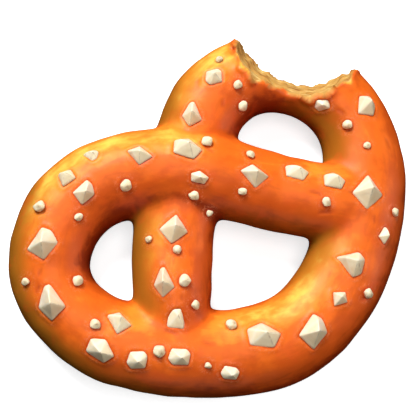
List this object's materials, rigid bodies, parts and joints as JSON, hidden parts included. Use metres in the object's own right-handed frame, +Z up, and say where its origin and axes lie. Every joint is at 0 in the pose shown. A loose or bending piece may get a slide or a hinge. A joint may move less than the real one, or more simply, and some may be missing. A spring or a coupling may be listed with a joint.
{
  "type": "soft pretzel",
  "caption": "Twisted soft pretzel with crossed arms, open loops, a flat underside, coarse salt lumps and a mouthful bitten from one loop.",
  "frame": {"origin": "under the middle of the plan, on the surface that the flat underside rests on", "axes": "+Z up out of the underside, +X along the upper arm from the crossing to its sealed end, +Y away from the belly towards the bitten loop"},
  "size_m": [0.1336, 0.1217, 0.0292],
  "materials": {
    "crust": "browned, softly glossy lye crust, orange on top and dark brown on the lower walls, with pale tan crumb where it is bitten",
    "salt": "cream-white rock salt, satin, with tan streaks along its edges"
  },
  "bodies": {
    "root": {"pretzel": "crust", "salt_01": "salt", "salt_02": "salt", "salt_03": "salt", "salt_04": "salt", "salt_05": "salt", "salt_06": "salt", "salt_07": "salt", "salt_08": "salt", "salt_09": "salt", "salt_10": "salt", "salt_11": "salt", "salt_12": "salt", "salt_13": "salt", "salt_14": "salt", "salt_15": "salt", "salt_16": "salt", "salt_17": "salt", "salt_18": "salt", "salt_19": "salt", "salt_20": "salt", "salt_21": "salt", "salt_22": "salt", "salt_23": "salt", "salt_24": "salt", "salt_25": "salt", "salt_26": "salt", "salt_27": "salt", "salt_28": "salt", "salt_29": "salt"}
  },
  "joints": []
}
